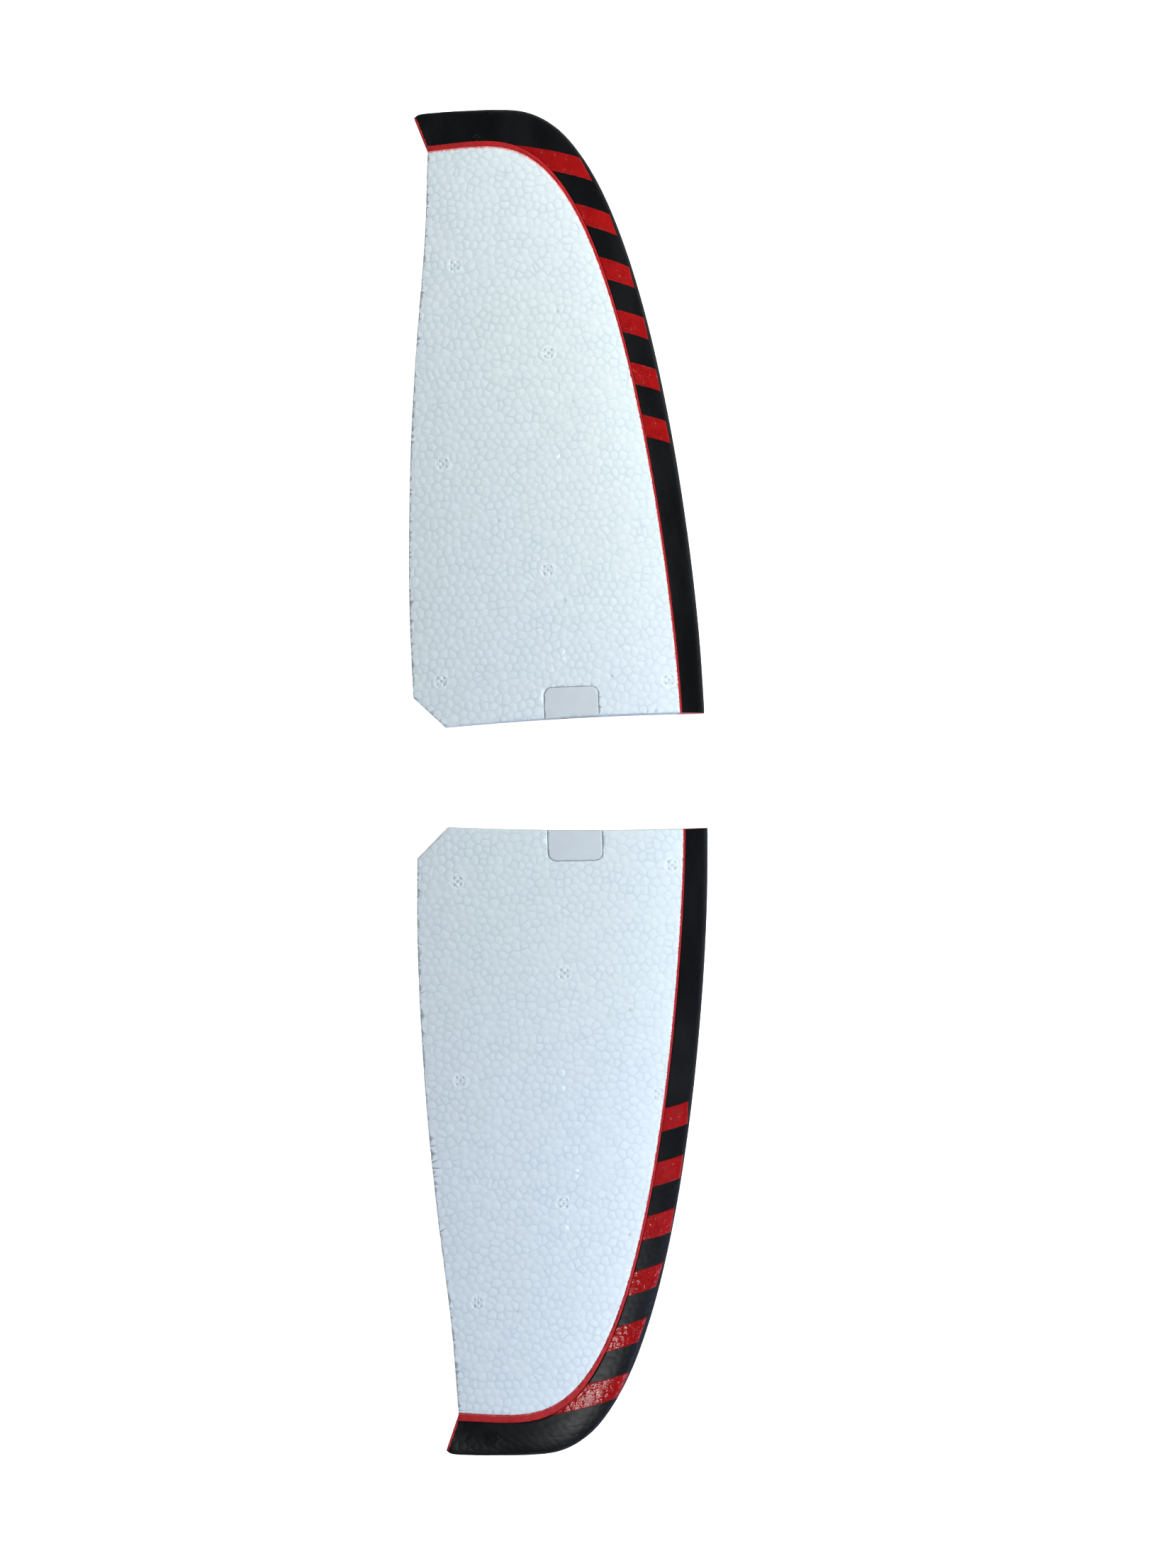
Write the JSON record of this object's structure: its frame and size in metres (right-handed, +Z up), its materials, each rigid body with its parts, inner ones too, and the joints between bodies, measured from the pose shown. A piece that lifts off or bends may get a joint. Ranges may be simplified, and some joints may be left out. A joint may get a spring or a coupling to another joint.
{
  "type": "model glider wing pair",
  "caption": "Pair of swept-tip moulded foam wing halves for a small radio-controlled glider, with a sliding spar rod that joins them.",
  "frame": {"origin": "midway between the two halves, on the plane of their flat undersides", "axes": "+X towards the leading edges, +Y along the left wing, +Z up"},
  "size_m": [0.1627, 0.749, 0.0145],
  "materials": {
    "bead_foam": "satin white bead foam",
    "black_paint": "satin black paint film",
    "red_paint": "matte red paint film",
    "red_tape": "glossy red tape",
    "grey_plastic": "smooth light grey plastic",
    "joiner_plastic": "moulded plastic",
    "carbon": "pultruded carbon",
    "plug_rubber": "soft black rubber",
    "filler_foam": "white filler foam"
  },
  "bodies": {
    "left_wing": {"left_foam_core": "bead_foam", "left_nose_skin": "black_paint", "left_border_stripe": "red_paint", "left_cover_plate": "grey_plastic", "left_joiner_box": "joiner_plastic", "left_spar_tube": "carbon", "left_tube_end_plug": "plug_rubber", "left_spar_slot_strip": "filler_foam", "left_trim_tape_1": "red_tape", "left_trim_tape_2": "red_tape", "left_trim_tape_3": "red_tape", "left_trim_tape_4": "red_tape", "left_trim_tape_5": "red_tape", "left_trim_tape_6": "red_tape"},
    "right_wing": {"right_foam_core": "bead_foam", "right_nose_skin": "black_paint", "right_border_stripe": "red_paint", "right_cover_plate": "grey_plastic", "right_joiner_box": "joiner_plastic", "right_spar_tube": "carbon", "right_tube_end_plug": "plug_rubber", "right_spar_slot_strip": "filler_foam", "right_trim_tape_1": "red_tape", "right_trim_tape_2": "red_tape", "right_trim_tape_3": "red_tape", "right_trim_tape_4": "red_tape", "right_trim_tape_5": "red_tape", "right_trim_tape_6": "red_tape"},
    "joiner_rod": {"joiner_rod": "carbon"}
  },
  "joints": [
    {"name": "right_wing_slide", "type": "slide", "parent": "left_wing", "child": "right_wing", "axis": [0, 1, 0], "range_m": [-0.25, 0.0538]},
    {"name": "joiner_rod_slide", "type": "slide", "parent": "left_wing", "child": "joiner_rod", "axis": [0, -1, 0], "range_m": [0, 0.158]}
  ]
}
